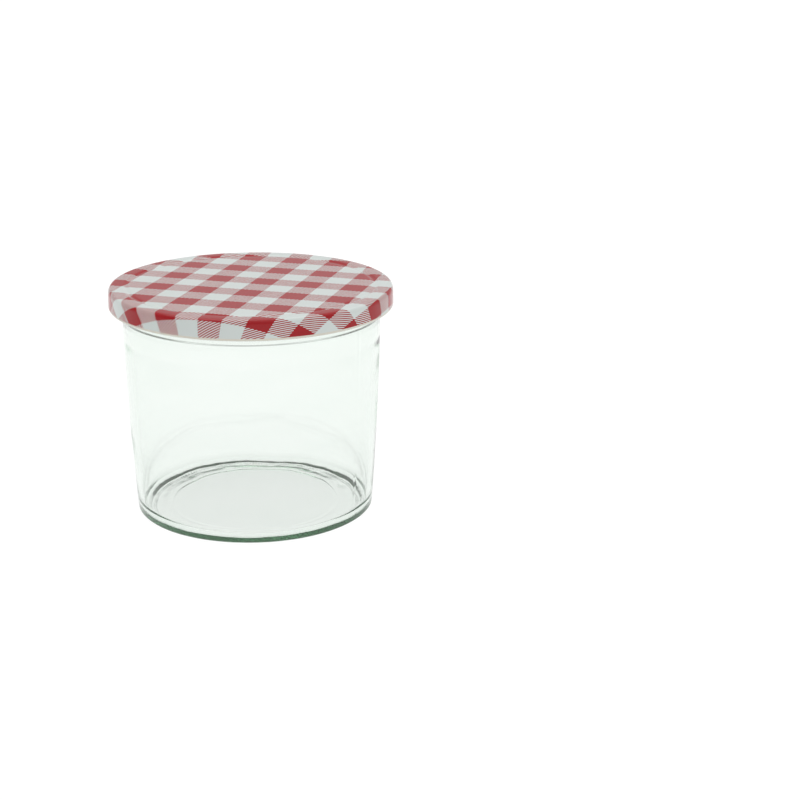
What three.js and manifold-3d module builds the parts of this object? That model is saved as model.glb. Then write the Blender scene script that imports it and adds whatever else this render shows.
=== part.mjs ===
// Jam jar: an empty tumbler of clear pressed glass, shut by a twist-off tinplate lid.
// Millimetres, +Z up. The origin is the middle of the foot, on the surface that the jar stands on.
// Three pieces: the glass, the lid, and the ring of sealing compound between the glass rim and the lid.
import * as THREE from 'three';
import { mergeVertices } from 'three/addons/utils/BufferGeometryUtils.js';
import Module from 'manifold-3d';

const wasm = await Module();
wasm.setup();

// Whole jar
const jarHeight = 86.2;          // foot to the top of the lid's rim
const sidesRound = 64;           // facets round every turned piece, a multiple of the lug count
const lugCount = 8;              // lugs in the lid, and thread segments on the glass

// Lid
const lidRadius = 52.5;          // outside of the skirt at its foot: a 100 mm twist-off lid
const lidHeight = 7.5;           // foot of the curl to the top of the rim
const sheet = 0.25;              // tinplate
const panelRadius = 44.2;        // flat middle of the lid
const panelDrop = 0.15;          // the flat middle lies this far below the rim
const grooveRadius = 45.6;       // shallow groove pressed between the flat middle and the rim
const grooveDrop = 0.4;          // bottom of the groove below the rim
const ringInner = 47.4;          // the rim is level between these two radii
const ringOuter = 51;
const shoulderDrop = 1.8;        // height of the rounded shoulder outside the rim
const skirtTaper = 0.12;         // the skirt leans in by this much at the shoulder
const curlRadius = 0.8;          // rolled edge at the foot of the skirt
const lugReach = 48.9;           // radius of the lugs' inner ends
const lugHeight = 0.8;
const lugArc = 14;               // degrees at the curl
const lugTip = 9;                // degrees at the inner end

// Sealing compound
const sealInner = 44.9;
const sealOuter = 49.4;
const fitGap = 0.1;              // left between the seal and what it touches

// Glass
const rimHeight = 84.9;
const rimThickness = 2.7;
const edgeRound = 1;             // height of the rounding on the rim and on the bead
const finishRadius = 47.6;       // outside of the neck, under the thread
const beadRadius = 48.3;         // the low bead that the lid sits above
const beadTop = 77.9;
const beadFoot = 76.8;
const boreFoot = 79.5;           // the bore widens below this to the inside wall
const insideTopRadius = 45.4;
const insideTopHeight = 67;
const wallTopRadius = 47.8;      // outside of the wall where it meets the bead
const wallTopHeight = 75.2;
const wallFootRadius = 44.7;     // outside of the wall where the heel begins
const wallBulge = 0.46;          // the leaning wall swells this far half way up
const heelWidth = 4.6;
const heelHeight = 1.9;
const standWidth = 1.9;          // level ring that the jar stands on
const wallThickness = 2.15;      // near the foot
const floorHeight = 1.8;         // inside floor at its edge
const floorCrown = 0.8;          // the floor's middle is this much higher
const insideCorner = 4.8;        // radius where the inside wall meets the floor
const pushUp = 1.2;              // hollow under the middle of the foot
const markRadius = 31.2;         // faint ring moulded under the foot
const markHeight = 0.6;          // the hollow's height at that ring
const markStep = 0.1;            // the ring steps down by this much
const markWidth = 1.2;
const threadReach = 49.3;
const threadHeight = 1.6;
const threadArc = 32;            // degrees covered by one thread segment
const threadFall = 1.8;          // how far one segment runs down
const threadTop = 83.9;          // upper face at its high end

const point = (r, z) => new THREE.Vector2(r, z);
const radians = THREE.MathUtils.degToRad;

// A stretch of ellipse in the profile plane: angles in degrees, 0 outwards and 90 up.
function bend(centreR, centreZ, sizeR, sizeZ, from, to, steps) {
  return Array.from({ length: steps + 1 }, (_, i) => {
    const angle = radians(from + (to - from) * i / steps);
    return point(centreR + sizeR * Math.cos(angle), centreZ + sizeZ * Math.sin(angle));
  });
}

// A leaning line between two points of the profile that swells outwards half way, without its ends.
function swollen(a, b, swell, steps) {
  return Array.from({ length: steps - 1 }, (_, i) => {
    const share = (i + 1) / steps;
    return point(a.x + (b.x - a.x) * share + swell * Math.sin(Math.PI * share), a.y + (b.y - a.y) * share);
  });
}

// A smooth S between two points of the profile, level at both ends.
function easeLevel(a, b, steps) {
  return Array.from({ length: steps + 1 }, (_, i) => {
    const share = i / steps;
    return point(a.x + (b.x - a.x) * share, a.y + (b.y - a.y) * (1 - Math.cos(Math.PI * share)) / 2);
  });
}

// The same S, upright at both ends.
function easeUpright(a, b, steps) {
  return Array.from({ length: steps + 1 }, (_, i) => {
    const share = i / steps;
    return point(a.x + (b.x - a.x) * (1 - Math.cos(Math.PI * share)) / 2, a.y + (b.y - a.y) * share);
  });
}

// Turns a profile of (radius, height) points round the upright axis.
function turned(profile) {
  return new THREE.LatheGeometry(profile, sidesRound).rotateX(Math.PI / 2);
}

// Welds a closed geometry, drops the empty triangles at its poles and makes a solid of it.
function solidOf(geometry) {
  const bare = geometry.clone();
  bare.deleteAttribute('normal');
  bare.deleteAttribute('uv');
  const welded = mergeVertices(bare);
  const corners = welded.index.array;
  const kept = [];
  for (let i = 0; i < corners.length; i += 3) {
    const [a, b, c] = corners.slice(i, i + 3);
    if (a !== b && b !== c && c !== a) kept.push(a, b, c);
  }
  return new wasm.Manifold(new wasm.Mesh({
    numProp: 3,
    vertProperties: new Float32Array(welded.attributes.position.array),
    triVerts: new Uint32Array(kept),
  }));
}

function geometryOf(solid) {
  const mesh = solid.getMesh();
  const geometry = new THREE.BufferGeometry();
  geometry.setAttribute('position', new THREE.BufferAttribute(mesh.vertProperties, 3));
  geometry.setIndex(new THREE.BufferAttribute(mesh.triVerts, 1));
  return geometry;
}

// Joins copies of a small piece to a body, spread evenly round the axis.
function withRing(body, piece, count) {
  let solid = solidOf(body);
  for (let i = 0; i < count; i += 1) {
    const copy = piece.clone().rotateZ(2 * Math.PI * i / count);
    solid = solid.add(solidOf(copy));
  }
  return geometryOf(solid);
}

// A flat block between two radii, centred on +X, as wide as outerArc outside and innerArc inside.
function sectorBlock(innerR, outerR, innerArc, outerArc, height, steps) {
  const shape = new THREE.Shape();
  shape.absarc(0, 0, outerR, -radians(outerArc) / 2, radians(outerArc) / 2, false);
  shape.absarc(0, 0, innerR, radians(innerArc) / 2, -radians(innerArc) / 2, true);
  return new THREE.ExtrudeGeometry(shape, { depth: height, bevelEnabled: false, curveSegments: steps });
}

// Lid: one sheet of tinplate, pressed to a flat middle, a shallow groove, a level rim and a skirt.
const lidFoot = jarHeight - lidHeight;
const panelTop = jarHeight - panelDrop;
const grooveTop = jarHeight - grooveDrop;
const shoulderFoot = jarHeight - shoulderDrop;
const skirtTopRadius = lidRadius - skirtTaper;
const shoulderWidth = skirtTopRadius - ringOuter;
const curlMiddle = point(lidRadius - curlRadius, lidFoot + curlRadius);

function lidProfile() {
  const inside = [
    point(0, panelTop - sheet),
    ...easeLevel(point(panelRadius, panelTop - sheet), point(grooveRadius, grooveTop - sheet), 3),
    ...easeLevel(point(grooveRadius, grooveTop - sheet), point(ringInner, jarHeight - sheet), 3).slice(1),
    ...bend(ringOuter, shoulderFoot, shoulderWidth - sheet, shoulderDrop - sheet, 90, 0, 6),
    point(lidRadius - sheet, curlMiddle.y + curlRadius),
  ];
  const outside = [
    point(curlMiddle.x - curlRadius / 2, curlMiddle.y + curlRadius),
    ...bend(curlMiddle.x, curlMiddle.y, curlRadius, curlRadius, 180, 360, 6),
    ...bend(ringOuter, shoulderFoot, shoulderWidth, shoulderDrop, 0, 90, 6),
    ...easeLevel(point(ringInner, jarHeight), point(grooveRadius, grooveTop), 3),
    ...easeLevel(point(grooveRadius, grooveTop), point(panelRadius, panelTop), 3).slice(1),
    point(0, panelTop),
  ];
  return [...inside, ...outside];
}

function lidGeometry() {
  const lug = sectorBlock(lugReach, curlMiddle.x, lugTip, lugArc, lugHeight, 3);
  lug.translate(0, 0, curlMiddle.y - lugHeight / 2);
  return withRing(turned(lidProfile()), lug, lugCount);
}

// Seal: the compound fills the channel under the groove and the rim, above the glass.
function sealGeometry() {
  const roof = jarHeight - sheet - fitGap;
  const grooveRoof = grooveTop - sheet - fitGap;
  const floor = rimHeight + fitGap;
  const profile = [
    point(sealInner, floor),
    point(sealOuter, floor),
    point(sealOuter, roof),
    point(ringInner + fitGap, roof),
    point(grooveRadius + fitGap, grooveRoof),
    point(sealInner, grooveRoof),
    point(sealInner, floor),
  ];
  return turned(profile);
}

// Glass: the foot with its standing ring and push-up, the heel, the leaning wall, the bead and the rim.
const standOuter = wallFootRadius - heelWidth;
const standInner = standOuter - standWidth;
const boreRadius = finishRadius - rimThickness;
const insideTop = point(insideTopRadius, insideTopHeight);
const insideFoot = point(wallFootRadius - wallThickness, floorHeight + insideCorner);
const rimRound = rimThickness / 2;

function glassProfile() {
  const outside = [
    point(0, pushUp),
    point(markRadius / 2, pushUp - (pushUp - markHeight) / 4),
    point(markRadius, markHeight),
    ...easeLevel(point(markRadius + markWidth, markHeight - markStep), point(standInner, 0), 3),
    ...bend(standOuter, heelHeight, heelWidth, heelHeight, -90, 0, 6),
    ...swollen(point(wallFootRadius, heelHeight), point(wallTopRadius, wallTopHeight), wallBulge, 4),
    ...easeUpright(point(wallTopRadius, wallTopHeight), point(beadRadius, beadFoot), 4),
    ...bend(beadRadius - edgeRound / 2, beadTop - edgeRound, edgeRound / 2, edgeRound, 0, 90, 3),
    point(finishRadius, beadTop + edgeRound / 2),
    ...bend(finishRadius - rimRound, rimHeight - edgeRound, rimRound, edgeRound, 0, 90, 3),
  ];
  const inside = [
    ...bend(boreRadius + rimRound, rimHeight - edgeRound, rimRound, edgeRound, 90, 180, 3).slice(1),
    point(boreRadius, boreFoot),
    insideTop,
    ...swollen(insideTop, insideFoot, wallBulge, 4),
    ...bend(insideFoot.x - insideCorner, insideFoot.y, insideCorner, insideCorner, 0, -90, 5),
    point(0, floorHeight + floorCrown),
  ];
  return [...outside, ...inside];
}

function threadSegment() {
  const block = sectorBlock(boreRadius + rimRound, threadReach, threadArc, threadArc, threadHeight, 8);
  const places = block.attributes.position;
  const middle = threadTop - threadHeight - threadFall / 2;
  for (let i = 0; i < places.count; i += 1) {
    const turn = Math.atan2(places.getY(i), places.getX(i)) / radians(threadArc);
    places.setZ(i, places.getZ(i) + middle + threadFall * turn);
  }
  return block;
}

function glassGeometry() {
  return withRing(turned(glassProfile()), threadSegment(), lugCount);
}

const clearGlass = new THREE.MeshStandardMaterial({
  color: 0xdfe9e2, roughness: 0.03, metalness: 0, transparent: true, opacity: 0.35,
});
const printedTin = new THREE.MeshStandardMaterial({ color: 0xb2555a, roughness: 0.28, metalness: 0.2 });
const compound = new THREE.MeshStandardMaterial({ color: 0xd9d6cc, roughness: 0.6, metalness: 0 });

function piece(name, geometry, material) {
  const mesh = new THREE.Mesh(geometry, material);
  mesh.name = name;
  return mesh;
}

const jar = new THREE.Group();
jar.add(piece('jar_glass', glassGeometry(), clearGlass));
jar.add(piece('lid', lidGeometry(), printedTin));
jar.add(piece('seal_ring', sealGeometry(), compound));

export default jar;
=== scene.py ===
import math
import bmesh
import bpy
from mathutils import Matrix, Vector


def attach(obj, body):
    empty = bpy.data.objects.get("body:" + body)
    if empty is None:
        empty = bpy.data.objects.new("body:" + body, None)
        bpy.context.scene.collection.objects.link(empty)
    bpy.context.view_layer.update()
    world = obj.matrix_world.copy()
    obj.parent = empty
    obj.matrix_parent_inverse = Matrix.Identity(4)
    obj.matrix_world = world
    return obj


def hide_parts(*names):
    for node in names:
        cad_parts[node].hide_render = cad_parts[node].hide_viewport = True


# Jam jar: pressed glass, printed twist-off lid, sealing compound.
# Sizes in the pieces' settings are millimetres, and those of the studio are metres.
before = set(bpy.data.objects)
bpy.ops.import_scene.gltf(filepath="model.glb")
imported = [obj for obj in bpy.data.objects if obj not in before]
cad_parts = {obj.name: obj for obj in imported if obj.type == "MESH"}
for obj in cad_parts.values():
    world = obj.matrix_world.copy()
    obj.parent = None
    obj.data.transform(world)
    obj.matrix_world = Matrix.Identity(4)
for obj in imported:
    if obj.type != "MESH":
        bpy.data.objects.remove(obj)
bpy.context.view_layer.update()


# small helpers

def clearSelection():
    bpy.ops.object.select_all(action="DESELECT")


def around(point):
    return math.degrees(math.atan2(point.y, point.x))


def polar(vertex):
    return vertex.co.xy.length * 1000, vertex.co.z * 1000, around(vertex.co)


def bend(centreR, centreZ, sizeR, sizeZ, start, end, steps):
    # a stretch of ellipse in the profile, 0 degrees outwards and 90 up
    turns = [math.radians(start + (end - start) * i / steps) for i in range(steps + 1)]
    return [(centreR + sizeR * math.cos(t), centreZ + sizeZ * math.sin(t)) for t in turns]


def ease(fromR, fromZ, toR, toZ, steps, upright=False):
    # a smooth S, level at both ends, or upright at both ends
    points = []
    for i in range(steps + 1):
        share = i / steps
        soft = (1 - math.cos(math.pi * share)) / 2
        shareR, shareZ = (soft, share) if upright else (share, soft)
        points.append((fromR + (toR - fromR) * shareR, fromZ + (toZ - fromZ) * shareZ))
    return points


def straight(fromR, fromZ, toR, toZ, steps, bulge=0.0):
    return [(fromR + (toR - fromR) * i / steps + bulge * math.sin(math.pi * i / steps),
             fromZ + (toZ - fromZ) * i / steps) for i in range(1, steps)]


def nextRing(fromRadius, fromHeight, toRadius, toHeight):
    # the chosen edge loop is extruded and scaled to the next point of the profile
    rise = (toHeight - fromHeight) / 1000
    bpy.ops.mesh.extrude_edges_move(TRANSFORM_OT_translate={"value": (0, 0, rise)})
    share = toRadius / fromRadius
    bpy.ops.transform.resize(value=(share, share, 1), center_override=(0, 0, 0))


def pullOut(piece, reach, flatten=1.0, middle=0.0):
    # the chosen faces are extruded to a new distance from the axis
    bpy.ops.mesh.extrude_region_move(TRANSFORM_OT_translate={"value": (0, 0, 0)})
    selected = [v for v in bmesh.from_edit_mesh(piece.data).verts if v.select]
    share = reach / (sum(v.co.xy.length for v in selected) / len(selected) * 1000)
    bpy.ops.transform.resize(value=(share, share, flatten), center_override=(0, 0, middle))


def sweepRings(name, sides, rings):
    # a disc, then its edge is extruded and scaled from ring to ring, and the last ring closes on the axis
    clearSelection()
    radius, height = rings[0]
    bpy.ops.mesh.primitive_circle_add(vertices=sides, radius=radius / 1000, fill_type="TRIFAN",
                                      location=(0, 0, height / 1000))
    piece = bpy.context.object
    piece.name = name
    piece.data.name = name
    bpy.ops.object.transform_apply(location=True, rotation=True, scale=True)
    bpy.ops.object.mode_set(mode="EDIT")
    pickVertices(piece, lambda v: v.co.xy.length > radius / 2000)
    for nextRadius, nextHeight in rings[1:]:
        nextRing(radius, height, nextRadius, nextHeight)
        radius, height = nextRadius, nextHeight
    bpy.ops.mesh.extrude_edges_move(TRANSFORM_OT_translate={"value": (0, 0, 0)})
    bpy.ops.mesh.merge(type="CENTER")
    bpy.ops.mesh.select_all(action="SELECT")
    bpy.ops.mesh.normals_make_consistent(inside=False)
    bpy.ops.object.mode_set(mode="OBJECT")
    return piece


def pickVertices(piece, wanted):
    bpy.ops.mesh.select_mode(type="VERT")
    bpy.ops.mesh.select_all(action="DESELECT")
    mesh = bmesh.from_edit_mesh(piece.data)
    for vertex in mesh.verts:
        if wanted(vertex):
            vertex.select_set(True)
    mesh.select_flush(True)
    bmesh.update_edit_mesh(piece.data)


def pickFaces(piece, wanted):
    bpy.ops.mesh.select_mode(type="FACE")
    bpy.ops.mesh.select_all(action="DESELECT")
    mesh = bmesh.from_edit_mesh(piece.data)
    count = 0
    for face in mesh.faces:
        if wanted(face.calc_center_median(), face.normal):
            face.select_set(True)
            count += 1
    bmesh.update_edit_mesh(piece.data)
    return count


def weigh(piece, name, weightOf):
    group = piece.vertex_groups.new(name=name)
    for vertex in piece.data.vertices:
        weight = weightOf(*polar(vertex))
        if weight > 0:
            group.add([vertex.index], min(weight, 1.0), "REPLACE")
    return group.name


def displace(piece, group, size, strength, depth=1):
    # uneven surface: soft clouds push the chosen zone in and out, then the modifier is applied
    cloud = bpy.data.textures.new(piece.name + "_" + group, "CLOUDS")
    cloud.noise_scale = size / 1000
    cloud.noise_depth = depth
    clearSelection()
    piece.select_set(True)
    bpy.context.view_layer.objects.active = piece
    bpy.ops.object.modifier_add(type="DISPLACE")
    modifier = piece.modifiers[-1]
    modifier.texture = cloud
    modifier.texture_coords = "LOCAL"
    modifier.vertex_group = group
    modifier.strength = strength / 1000
    modifier.mid_level = 0.5
    bpy.ops.object.modifier_apply(modifier=modifier.name)


def smoothPiece(piece, angle):
    clearSelection()
    piece.select_set(True)
    bpy.context.view_layer.objects.active = piece
    bpy.ops.object.shade_smooth_by_angle(angle=math.radians(angle))


def hook(piece, node):
    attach(piece, "root")
    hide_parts(node)


def sector(angle, count):
    # angle from the middle of the nearest of count equal sectors, the first of them on +X
    step = 360 / count
    return (angle + step / 2) % step - step / 2


# material helpers

def newMaterial(name):
    material = bpy.data.materials.new(name)
    material.use_nodes = True
    tree = material.node_tree
    tree.nodes.clear()
    output = tree.nodes.new("ShaderNodeOutputMaterial")
    shader = tree.nodes.new("ShaderNodeBsdfPrincipled")
    tree.links.new(shader.outputs["BSDF"], output.inputs["Surface"])
    return material, tree, shader, output


def mathNode(tree, operation, first, second=None):
    node = tree.nodes.new("ShaderNodeMath")
    node.operation = operation
    for slotIndex, value in enumerate((first, second)):
        if value is None:
            continue
        if isinstance(value, (int, float)):
            node.inputs[slotIndex].default_value = value
        else:
            tree.links.new(value, node.inputs[slotIndex])
    return node.outputs[0]


def noiseNode(tree, vector, scale, detail=2.0, roughness=0.5):
    node = tree.nodes.new("ShaderNodeTexNoise")
    node.inputs["Scale"].default_value = scale
    node.inputs["Detail"].default_value = detail
    node.inputs["Roughness"].default_value = roughness
    tree.links.new(vector, node.inputs["Vector"])
    return node.outputs["Fac"]


def rangeNode(tree, value, lowIn, highIn, lowOut, highOut):
    node = tree.nodes.new("ShaderNodeMapRange")
    node.inputs["From Min"].default_value = lowIn
    node.inputs["From Max"].default_value = highIn
    node.inputs["To Min"].default_value = lowOut
    node.inputs["To Max"].default_value = highOut
    tree.links.new(value, node.inputs["Value"])
    return node.outputs["Result"]


def mixColour(tree, factor, first, second):
    node = tree.nodes.new("ShaderNodeMix")
    node.data_type = "RGBA"
    for socket, value in ((node.inputs[0], factor), (node.inputs[6], first), (node.inputs[7], second)):
        if isinstance(value, (tuple, list)):
            socket.default_value = (*value, 1.0)
        elif isinstance(value, (int, float)):
            socket.default_value = value
        else:
            tree.links.new(value, socket)
    return node.outputs[2]


def deeper(colour, share):
    return tuple(channel * share for channel in colour)


def bumpNode(tree, height, distance, strength=1.0, before=None):
    node = tree.nodes.new("ShaderNodeBump")
    node.inputs["Distance"].default_value = distance / 1000
    node.inputs["Strength"].default_value = strength
    tree.links.new(height, node.inputs["Height"])
    if before is not None:
        tree.links.new(before, node.inputs["Normal"])
    return node.outputs["Normal"]


def mapped(tree, output, scale=(1, 1, 1), turn=0.0, shift=(0, 0, 0)):
    node = tree.nodes.new("ShaderNodeMapping")
    node.inputs["Scale"].default_value = scale
    node.inputs["Rotation"].default_value = (0, 0, math.radians(turn))
    node.inputs["Location"].default_value = shift
    tree.links.new(output, node.inputs["Vector"])
    return node.outputs["Vector"]


# jar glass

glassJar = {
    "sides": 416,
    "pushUp": 1.2,            # hollow under the middle of the foot
    "markRadius": 31.2,       # ring moulded under the foot
    "markHeight": 0.6,
    "markStep": 0.1,
    "standInner": 38.2,
    "standOuter": 40.1,
    "knurlDepth": 0.12,       # bars across the standing ring
    "heelWidth": 4.6,
    "heelHeight": 1.9,
    "wallFoot": 44.7,
    "wallTop": 47.8,
    "wallTopHeight": 75.2,
    "wallBulge": 0.46,
    "beadRadius": 48.3,
    "beadFoot": 76.8,
    "beadTop": 77.9,
    "seamHeight": 75.0,       # where the neck ring of the mould meets the body
    "neckRadius": 47.6,
    "neckLow": 79.6,          # the neck is plain up to here
    "rimHeight": 84.9,
    "rimRound": 1.35,
    "boreRadius": 44.9,
    "boreTop": 82.0,
    "boreFoot": 79.5,         # the bore widens from here down to boreEnd
    "boreEnd": 67.0,
    "insideTop": 45.4,
    "insideTopHeight": 69.0,
    "insideFoot": 42.55,
    "insideCorner": 4.8,
    "floorHeight": 1.8,
    "floorCrown": 0.8,
    "threadCount": 8,
    "threadArc": 32.0,
    "threadFall": 1.8,
    "threadMiddle": 82.2,
    "threadHeight": 1.6,
    "threadReach": 49.3,
    "mouldSeams": (-32.3, 147.7),
    "seamProud": 0.1,         # near the bead, less further down
    "waves": 0.34,            # uneven inside of the pressed glass
    "cornerWaves": 0.6,
    "stepWaves": 0.15,        # under the foot, beside the standing ring
    "tintLight": (0.99, 0.995, 0.99),
    "tintDeep": (0.975, 0.985, 0.977),
    "absorbColour": (0.48, 0.67, 0.53),
    "absorbDensity": 48.0,
}


def glassRings(g):
    markR, markZ, step = g["markRadius"], g["markHeight"], g["markStep"]
    underside = [(r, g["pushUp"] - (g["pushUp"] - markZ) * (r / markR) ** 2)
                 for r in (3, 9, 15, 21, 26, 29.4)]
    underside += [(markR - 0.5, markZ + 0.02), (markR, markZ), (markR + 0.35, markZ - step * 0.8),
                  (markR + 0.8, markZ - step)]
    underside += ease(markR + 1.4, markZ - step, g["standInner"] - 0.12, g["knurlDepth"] + 0.02, 9)
    underside += [(g["standInner"] + 0.1, g["knurlDepth"]), (g["standOuter"] - 0.1, g["knurlDepth"])]
    heel = bend(g["standOuter"], g["heelHeight"] + 0.1, g["heelWidth"], g["heelHeight"] - 0.1, -84, 0, 12)
    wall = straight(g["wallFoot"], g["heelHeight"] + 0.1, g["wallTop"], g["wallTopHeight"], 22,
                    g["wallBulge"])
    seam = [(g["wallTop"] - 0.02, g["seamHeight"] - 0.35), (g["wallTop"] + 0.03, g["seamHeight"] - 0.1),
            (g["wallTop"] + 0.03, g["seamHeight"])]
    bead = ease(g["wallTop"], g["wallTopHeight"], g["beadRadius"], g["beadFoot"], 8, upright=True)
    shoulder = bend(g["beadRadius"] - 0.52, g["beadTop"] - 1, 0.5, 1, 0, 90, 6)
    neck = [(g["neckRadius"] + 0.1, g["beadTop"] + 0.1)]
    neck += [(g["neckRadius"], height) for height in (
        g["beadTop"] + 0.4, g["neckLow"], g["threadMiddle"] - g["threadHeight"] / 2,
        g["threadMiddle"] + g["threadHeight"] / 2)]
    rim = bend(g["neckRadius"] - g["rimRound"], g["rimHeight"] - 1, g["rimRound"], 1, 0, 180, 12)
    bore = [(g["boreRadius"], g["boreTop"])]
    bore += ease(g["boreRadius"], g["boreFoot"], g["insideTop"] + 0.05, g["boreEnd"], 12, upright=True)
    corner, floorHeight = g["insideCorner"], g["floorHeight"]
    inside = straight(g["insideTop"], g["insideTopHeight"], g["insideFoot"], floorHeight + corner, 20,
                      g["wallBulge"])
    inside += bend(g["insideFoot"] - corner, floorHeight + corner, corner, corner, 0, -90, 14)
    floorEdge = g["insideFoot"] - corner
    floor = [(floorEdge * share, floorHeight + g["floorCrown"] * (1 - share ** 2))
             for share in (0.93, 0.86, 0.79, 0.72, 0.64, 0.56, 0.48, 0.4, 0.32, 0.24, 0.16, 0.08)]
    return underside + heel + wall + seam + bead + shoulder + neck + rim + bore + inside + floor


def makeGlass(g):
    piece = sweepRings("glass_jar", g["sides"], glassRings(g))
    bpy.ops.object.mode_set(mode="EDIT")
    # the thread rows fall along each segment and come back up in the gap
    mesh = bmesh.from_edit_mesh(piece.data)
    step = 360 / g["threadCount"]
    for vertex in mesh.verts:
        radius, height, angle = polar(vertex)
        onNeck = abs(radius - g["neckRadius"]) < 0.02
        if onNeck and abs(height - g["threadMiddle"]) < g["threadHeight"] / 2 + 0.1:
            turn = sector(angle, g["threadCount"])
            if abs(turn) <= g["threadArc"] / 2:
                fall = turn / g["threadArc"]
            else:
                gap = (step - g["threadArc"]) / 2
                fall = math.copysign((step / 2 - abs(turn)) / gap / 2, turn)
            vertex.co.z += g["threadFall"] * fall / 1000
    bmesh.update_edit_mesh(piece.data)
    # thread segments are pulled out of the neck

    def isThread(centre, normal):
        turn = sector(around(centre), g["threadCount"])
        off = centre.z * 1000 - g["threadMiddle"] - g["threadFall"] * turn / g["threadArc"]
        return (abs(centre.xy.length * 1000 - g["neckRadius"]) < 0.1 and abs(off) < g["threadHeight"] / 4
                and abs(turn) < g["threadArc"] / 2)

    pickFaces(piece, isThread)
    for reach in (g["threadReach"] - 0.3, g["threadReach"]):
        pullOut(piece, reach)
    # bars on the standing ring: every second face is inset and pushed down to the table

    def isBar(centre, normal):
        column = int(((around(centre) + 360) % 360) / 360 * g["sides"])
        onRing = g["standInner"] < centre.xy.length * 1000 < g["standOuter"]
        return normal.z < -0.9 and onRing and column % 2 == 0

    pickFaces(piece, isBar)
    bpy.ops.mesh.inset(thickness=0.00012, depth=g["knurlDepth"] / 1000, use_individual=True)
    # mould seams: one column of the outside stands proud on each side
    mesh = bmesh.from_edit_mesh(piece.data)
    half = 180 / g["sides"]
    for vertex in mesh.verts:
        radius, height, angle = polar(vertex)
        outside = radius > 40.5 and (height < g["heelHeight"] or radius > 44.4 + height * 0.04)
        if not outside or height > g["beadTop"] + 0.2:
            continue
        for seam in g["mouldSeams"]:
            off = (angle - seam + 180) % 360 - 180
            if abs(off) <= half:
                share = (radius + g["seamProud"] * min(1, max(0.15, (height - 60) / 8))) / radius
                vertex.co.x *= share
                vertex.co.y *= share
            elif abs(off) <= half * 3:
                turn = math.radians(math.copysign(abs(off) - half * 1.3, off) * -0.6)
                vertex.co = Matrix.Rotation(turn, 3, "Z") @ vertex.co
    bmesh.update_edit_mesh(piece.data)
    bpy.ops.object.mode_set(mode="OBJECT")

    def onInsideWall(radius, height, angle):
        if not 30 < radius < 44.2 + max(0, height - 12) * 0.03 or height <= 5:
            return 0
        return min(1, (height - 5) / 4) * min(1, max(0, (76 - height) / 8))

    def onCorner(radius, height, angle):
        return math.exp(-((radius - 38.5) / 2.6) ** 2) if 1.7 < height < 8 and radius < 43.2 else 0

    def onFootStep(radius, height, angle):
        return math.exp(-((radius - 36.2) / 1.3) ** 2) if 0.13 < height < 0.9 else 0

    displace(piece, weigh(piece, "insideWall", onInsideWall), 26, g["waves"])
    displace(piece, weigh(piece, "corner", onCorner), 11, g["cornerWaves"], 2)
    displace(piece, weigh(piece, "footStep", onFootStep), 9, g["stepWaves"], 2)
    piece.vertex_groups.clear()
    smoothPiece(piece, 40)
    return piece


def glassMaterial(g):
    material, tree, shader, output = newMaterial("clear_glass_fine")
    place = tree.nodes.new("ShaderNodeTexCoord").outputs["Object"]
    shader.inputs["Transmission Weight"].default_value = 1.0
    shader.inputs["IOR"].default_value = 1.5
    streaks = noiseNode(tree, mapped(tree, place, (38, 38, 150)), 1.0, 2.0, 0.45)
    shell = noiseNode(tree, mapped(tree, place, (240, 240, 240)), 1.0, 2.0, 0.5)
    tint = mixColour(tree, rangeNode(tree, streaks, 0.3, 0.7, 0, 1), g["tintLight"], g["tintDeep"])
    tree.links.new(tint, shader.inputs["Base Color"])
    smears = noiseNode(tree, mapped(tree, place, (60, 60, 22)), 1.0, 4.0, 0.6)
    tree.links.new(rangeNode(tree, smears, 0.45, 0.8, 0.0, 0.035), shader.inputs["Roughness"])
    waves = bumpNode(tree, streaks, 0.02)
    tree.links.new(bumpNode(tree, shell, 0.006, 1.0, waves), shader.inputs["Normal"])
    absorb = tree.nodes.new("ShaderNodeVolumeAbsorption")
    absorb.inputs["Color"].default_value = (*g["absorbColour"], 1)
    absorb.inputs["Density"].default_value = g["absorbDensity"]
    tree.links.new(absorb.outputs["Volume"], output.inputs["Volume"])
    return material


jar = makeGlass(glassJar)
jar.data.materials.append(glassMaterial(glassJar))
hook(jar, "jar_glass")
print("glass made,", len(jar.data.polygons), "faces")


# lid

tinLid = {
    "sides": 256,
    "radius": 52.5,
    "foot": 78.7,
    "top": 86.2,
    "sheet": 0.25,
    "panelRadius": 44.2,
    "panelDrop": 0.15,        # the flat middle below the level rim
    "grooveRadius": 45.6,
    "grooveDrop": 0.4,
    "ringInner": 47.4,
    "ringOuter": 51.0,
    "shoulderDrop": 1.8,
    "skirtTaper": 0.12,
    "curlRadius": 0.8,
    "lugCount": 8,
    "lugReach": 48.9,
    "lugTaper": 0.7,
    "lugArc": 14.0,
    "checkU": 8.654,          # one square of the print, across and back
    "checkV": 8.838,
    "printTurn": -14.81,
    "printU": 16.529,
    "printV": 0.096,
    "skirtStretch": 0.43,     # the print is drawn out over the shoulder and the skirt
    "printEdge": 61.4,        # the print ends this far from the middle, along the sheet
    "hatchAcross": 5.6,       # lines of the hatching that cross one square, each way
    "hatchBack": 6.7,
    "hatchShare": 0.52,
    "varnish": 1.34,
    "red": (0.36, 0.009, 0.013),
    "white": (0.64, 0.69, 0.67),
    "cream": (0.66, 0.63, 0.55),
}


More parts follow.
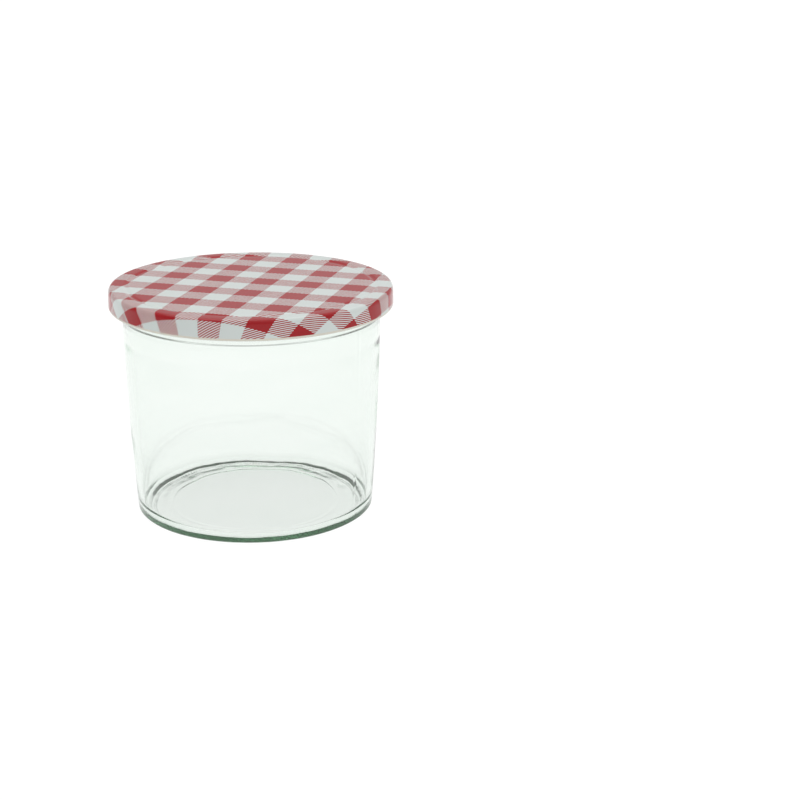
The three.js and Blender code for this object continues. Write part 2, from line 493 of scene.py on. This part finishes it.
def lidRings(t):
    panelTop, grooveTop = t["top"] - t["panelDrop"], t["top"] - t["grooveDrop"]
    shoulderFoot = t["top"] - t["shoulderDrop"]
    skirtTop = t["radius"] - t["skirtTaper"]
    width = skirtTop - t["ringOuter"]
    curlR, curlZ, curl = t["radius"] - t["curlRadius"], t["foot"] + t["curlRadius"], t["curlRadius"]
    sheet = t["sheet"]
    outside = [(r, panelTop) for r in (2, 8, 16, 24, 32, 38, 42)]
    outside += ease(t["panelRadius"], panelTop, t["grooveRadius"], grooveTop, 7)
    outside += ease(t["grooveRadius"], grooveTop, t["ringInner"], t["top"], 9)[1:]
    outside += [(49.2, t["top"])]
    outside += bend(t["ringOuter"], shoulderFoot, width, t["shoulderDrop"], 90, 0, 14)
    outside += straight(skirtTop, shoulderFoot, t["radius"], curlZ, 6)
    curlRing = bend(curlR, curlZ, curl, curl, 0, -205, 18)
    inside = [(t["radius"] - sheet, curlZ + curl + 0.1)]
    inside += straight(t["radius"] - sheet, curlZ + curl + 0.1, skirtTop - sheet, shoulderFoot, 4)
    inside += bend(t["ringOuter"], shoulderFoot, width - sheet, t["shoulderDrop"] - sheet, 0, 90, 14)
    inside += ease(t["ringInner"], t["top"] - sheet, t["grooveRadius"], grooveTop - sheet, 9)
    inside += ease(t["grooveRadius"], grooveTop - sheet, t["panelRadius"], panelTop - sheet, 7)[1:]
    inside += [(r, panelTop - sheet) for r in (42, 38, 32, 24, 16, 8, 2)]
    return outside, curlRing, inside


def makeLid(t):
    outside, curlRing, inside = lidRings(t)
    piece = sweepRings("tin_lid", t["sides"], outside + curlRing + inside)
    bpy.ops.object.mode_set(mode="EDIT")
    curlR, curlZ = t["radius"] - t["curlRadius"], t["foot"] + t["curlRadius"]

    def isLug(centre, normal):
        radius = centre.xy.length * 1000
        low = centre.z * 1000 < curlZ + t["curlRadius"] + 0.1
        return (t["lugReach"] < radius < curlR - 0.45 and low
                and abs(sector(around(centre), t["lugCount"])) < t["lugArc"] / 2)

    pickFaces(piece, isLug)
    for reach in (t["lugReach"] + 0.6, t["lugReach"]):
        pullOut(piece, reach, t["lugTaper"], curlZ / 1000)
    bpy.ops.object.mode_set(mode="OBJECT")
    return piece, outside + curlRing[:8]


def layPrint(piece, t, face):
    # the print was flat before the lid was pressed: how far a point lies from the middle along the sheet
    along = [face[0][0]]
    for (r0, z0), (r1, z1) in zip(face, face[1:]):
        stretch = 1 + t["skirtStretch"] if r0 >= t["ringOuter"] else 1
        along.append(along[-1] + math.hypot(r1 - r0, z1 - z0) * stretch)
    mesh = piece.data
    layer = mesh.uv_layers.active or mesh.uv_layers.new(name="print")
    layer.name = "print"
    for polygon in mesh.polygons:
        centre = polygon.center
        outer = polygon.normal.z > 0.02 or (polygon.normal.x * centre.x + polygon.normal.y * centre.y) > 0
        nearLow = centre.z * 1000 < t["foot"] + 0.5
        polygon.material_index = 0 if outer and not (nearLow and polygon.normal.z < -0.7) else 1
        for loopIndex in polygon.loop_indices:
            vertex = mesh.vertices[mesh.loops[loopIndex].vertex_index]
            radius, height, angle = polar(vertex)
            if radius < 1:
                length = 0.0
            else:
                nearest = min(range(len(face)),
                              key=lambda i: (face[i][0] - radius) ** 2 + (face[i][1] - height) ** 2)
                length = along[nearest] if outer else 60.0 + radius
            turn = math.radians(angle)
            layer.data[loopIndex].uv = (length * math.cos(turn), length * math.sin(turn))


def printMaterial(t):
    material, tree, shader, output = newMaterial("printed_tin_fine")
    uv = tree.nodes.new("ShaderNodeUVMap")
    uv.uv_map = "print"
    flat = uv.outputs["UV"]
    place = tree.nodes.new("ShaderNodeTexCoord").outputs["Object"]
    # turn the sheet to the cloth's grid and count in squares
    turned = mapped(tree, flat, (1, 1, 1), -t["printTurn"])
    sizeU, sizeV = 1 / t["checkU"], 1 / t["checkV"]
    grid = mapped(tree, turned, (sizeU, sizeV, 1), 0, (-t["printU"] * sizeU, -t["printV"] * sizeV, 0))
    split = tree.nodes.new("ShaderNodeSeparateXYZ")
    tree.links.new(grid, split.inputs[0])
    across, back = split.outputs[0], split.outputs[1]
    pairU = mathNode(tree, "FRACT", mathNode(tree, "MULTIPLY", across, 0.5))
    pairV = mathNode(tree, "FRACT", mathNode(tree, "MULTIPLY", back, 0.5))
    stripeU = mathNode(tree, "LESS_THAN", pairU, 0.5)
    stripeV = mathNode(tree, "LESS_THAN", pairV, 0.5)
    both = mathNode(tree, "MULTIPLY", stripeU, stripeV)
    either = mathNode(tree, "MAXIMUM", stripeU, stripeV)
    slant = mathNode(tree, "SUBTRACT", mathNode(tree, "MULTIPLY", back, t["hatchBack"]),
                     mathNode(tree, "MULTIPLY", across, t["hatchAcross"]))
    lines = mathNode(tree, "LESS_THAN", mathNode(tree, "FRACT", slant), t["hatchShare"])
    half = mathNode(tree, "MULTIPLY", either, lines)
    ink = mathNode(tree, "MAXIMUM", both, half)
    mottle = noiseNode(tree, mapped(tree, place, (900, 900, 900)), 1.0, 3.0, 0.6)
    cloudy = noiseNode(tree, mapped(tree, place, (45, 45, 45)), 1.0, 3.0, 0.5)
    red = mixColour(tree, rangeNode(tree, mottle, 0.3, 0.7, 0, 1), t["red"], deeper(t["red"], 0.86))
    white = mixColour(tree, rangeNode(tree, cloudy, 0.3, 0.7, 0, 1), t["white"], deeper(t["white"], 0.95))
    printed = mixColour(tree, ink, white, red)
    # past the edge of the print the base coat shows
    length = tree.nodes.new("ShaderNodeVectorMath")
    length.operation = "LENGTH"
    tree.links.new(flat, length.inputs[0])
    bare = mathNode(tree, "GREATER_THAN", length.outputs["Value"], t["printEdge"])
    tree.links.new(mixColour(tree, bare, printed, t["cream"]), shader.inputs["Base Color"])
    tree.links.new(rangeNode(tree, cloudy, 0.3, 0.75, 0.12, 0.2), shader.inputs["Roughness"])
    shader.inputs["IOR"].default_value = t["varnish"]
    peel = noiseNode(tree, mapped(tree, place, (420, 420, 420)), 1.0, 2.0, 0.5)
    tree.links.new(bumpNode(tree, peel, 0.012), shader.inputs["Normal"])
    return material


def lacquerMaterial():
    material, tree, shader, output = newMaterial("white_lacquer_fine")
    place = tree.nodes.new("ShaderNodeTexCoord").outputs["Object"]
    cloudy = noiseNode(tree, mapped(tree, place, (60, 60, 60)), 1.0, 3.0, 0.5)
    lacquer = mixColour(tree, rangeNode(tree, cloudy, 0.3, 0.7, 0, 1), (0.62, 0.61, 0.57), (0.55, 0.54, 0.50))
    tree.links.new(lacquer, shader.inputs["Base Color"])
    tree.links.new(rangeNode(tree, cloudy, 0.3, 0.7, 0.25, 0.4), shader.inputs["Roughness"])
    peel = noiseNode(tree, mapped(tree, place, (300, 300, 300)), 1.0, 2.0, 0.5)
    tree.links.new(bumpNode(tree, peel, 0.02), shader.inputs["Normal"])
    return material


lid, printFace = makeLid(tinLid)
lid.data.materials.append(printMaterial(tinLid))
lid.data.materials.append(lacquerMaterial())
layPrint(lid, tinLid, printFace)
smoothPiece(lid, 50)
hook(lid, "lid")
print("lid made,", len(lid.data.polygons), "faces")


# sealing compound

sealing = {
    "sides": 192,
    "inner": 44.9,
    "outer": 49.4,
    "foot": 85.0,
    "roof": 85.85,
    "grooveRoof": 85.45,
    "grooveEdge": 45.7,
    "ringInner": 47.5,
    "colour": (0.62, 0.60, 0.54),
}


def makeSeal(s):
    # a flat band, extruded up in steps that follow the channel it was poured into
    clearSelection()
    bpy.ops.mesh.primitive_circle_add(vertices=s["sides"], radius=s["inner"] / 1000, fill_type="NOTHING",
                                      location=(0, 0, s["foot"] / 1000))
    piece = bpy.context.object
    piece.name = "seal_compound"
    piece.data.name = "seal_compound"
    bpy.ops.object.transform_apply(location=True, rotation=True, scale=True)
    bpy.ops.object.mode_set(mode="EDIT")
    bpy.ops.mesh.select_mode(type="VERT")
    bpy.ops.mesh.select_all(action="SELECT")
    section = [(45.6, s["foot"]), (46.6, s["foot"] + 0.06), (47.6, s["foot"] + 0.06), (48.7, s["foot"])]
    section += [(s["outer"] - 0.1, s["foot"]), (s["outer"], s["foot"] + 0.1)]
    section += [(s["outer"], s["roof"] - 0.12), (s["outer"] - 0.1, s["roof"]), (s["ringInner"], s["roof"])]
    section += [(s["grooveEdge"], s["grooveRoof"]), (s["inner"] + 0.1, s["grooveRoof"])]
    section += [(s["inner"], s["grooveRoof"] - 0.1), (s["inner"], s["foot"])]
    radius, height = s["inner"], s["foot"]
    for nextRadius, nextHeight in section:
        nextRing(radius, height, nextRadius, nextHeight)
        radius, height = nextRadius, nextHeight
    bpy.ops.mesh.select_all(action="SELECT")
    bpy.ops.mesh.remove_doubles(threshold=0.00001)
    bpy.ops.mesh.normals_make_consistent(inside=False)
    bpy.ops.object.mode_set(mode="OBJECT")
    smoothPiece(piece, 35)
    return piece


def compoundMaterial(s):
    material, tree, shader, output = newMaterial("compound_fine")
    place = tree.nodes.new("ShaderNodeTexCoord").outputs["Object"]
    grain = noiseNode(tree, mapped(tree, place, (700, 700, 700)), 1.0, 3.0, 0.6)
    tint = mixColour(tree, grain, s["colour"], deeper(s["colour"], 0.88))
    tree.links.new(tint, shader.inputs["Base Color"])
    tree.links.new(rangeNode(tree, grain, 0.3, 0.7, 0.5, 0.65), shader.inputs["Roughness"])
    tree.links.new(bumpNode(tree, grain, 0.03), shader.inputs["Normal"])
    return material


seal = makeSeal(sealing)
seal.data.materials.append(compoundMaterial(sealing))
hook(seal, "seal_ring")
print("seal made")


# floor, light and camera

studio = {
    "floorRadius": 7.0,
    "floorHeight": -0.0002,
    "floorColour": (0.05, 0.05, 0.05),
    "floorGlow": 0.98,
    "skyLow": 1.0,
    "skyTop": 1.6,
    "skyBand": 0.74,          # the part of the sky that the flat lid mirrors
    "leftSide": 0.7,
    "keyPower": 5.0,
    "keyPlace": (-0.3, 0.25, 1.3),
    "keySize": (1.0, 0.8),
    "lens": 75.0,
    "eye": (0.05515, -0.59880, 0.23527),
    "pitch": 17.95,
    "roll": 0.395,
}


def makeFloor(s):
    clearSelection()
    bpy.ops.mesh.primitive_circle_add(vertices=96, radius=s["floorRadius"], fill_type="TRIFAN",
                                      location=(0, 0, s["floorHeight"]))
    floor = bpy.context.object
    floor.name = "pale_floor"
    bpy.ops.object.transform_apply(location=True, rotation=True, scale=True)
    material, tree, shader, output = newMaterial("pale_floor")
    place = tree.nodes.new("ShaderNodeTexCoord").outputs["Object"]
    grain = noiseNode(tree, place, 30.0, 3.0, 0.5)
    pale = mixColour(tree, grain, s["floorColour"], deeper(s["floorColour"], 0.99))
    tree.links.new(pale, shader.inputs["Base Color"])
    shader.inputs["Roughness"].default_value = 0.6
    shader.inputs["Specular IOR Level"].default_value = 0.2
    shader.inputs["Emission Color"].default_value = (1, 1, 1, 1)
    shader.inputs["Emission Strength"].default_value = s["floorGlow"]
    floor.data.materials.append(material)


def makeLight(s):
    world = bpy.data.worlds.new("studio")
    world.use_nodes = True
    bpy.context.scene.world = world
    tree = world.node_tree
    tree.nodes.clear()
    output = tree.nodes.new("ShaderNodeOutputWorld")
    background = tree.nodes.new("ShaderNodeBackground")
    tree.links.new(background.outputs[0], output.inputs["Surface"])
    split = tree.nodes.new("ShaderNodeSeparateXYZ")
    tree.links.new(tree.nodes.new("ShaderNodeTexCoord").outputs["Generated"], split.inputs[0])
    lower = rangeNode(tree, split.outputs[2], 0.08, 0.24, s["skyLow"], s["skyBand"])
    upper = rangeNode(tree, split.outputs[2], 0.55, 0.85, 0, s["skyTop"] - s["skyBand"])
    sky = mathNode(tree, "ADD", lower, upper)
    sides = rangeNode(tree, split.outputs[0], -0.8, 0.2, s["leftSide"], 1.0)
    tree.links.new(mathNode(tree, "MULTIPLY", sky, sides), background.inputs["Strength"])

    lamp = bpy.data.lights.new("soft_box_top", "AREA")
    lamp.shape = "RECTANGLE"
    lamp.size, lamp.size_y = s["keySize"]
    lamp.energy = s["keyPower"]
    lampObject = bpy.data.objects.new("soft_box_top", lamp)
    bpy.context.scene.collection.objects.link(lampObject)
    lampObject.location = s["keyPlace"]
    lampObject.rotation_euler = (-Vector(s["keyPlace"])).to_track_quat("-Z", "Y").to_euler()


def makeCamera(s):
    camera = bpy.data.cameras.new("camera")
    camera.lens = s["lens"]
    camera.sensor_width = 36
    cameraObject = bpy.data.objects.new("camera", camera)
    bpy.context.scene.collection.objects.link(cameraObject)
    tilt = Matrix.Rotation(math.radians(90 - s["pitch"]), 4, "X")
    roll = Matrix.Rotation(math.radians(s["roll"]), 4, "Z")
    cameraObject.matrix_world = Matrix.Translation(s["eye"]) @ tilt @ roll
    bpy.context.scene.camera = cameraObject


makeFloor(studio)
makeLight(studio)
makeCamera(studio)
bpy.context.scene.view_settings.view_transform = "Standard"
# light runs far along inside a glass wall, so it gets enough turns to come out again
paths = bpy.context.scene.cycles
paths.max_bounces = paths.glossy_bounces = paths.transmission_bounces = 40
print("floor, light and camera placed")
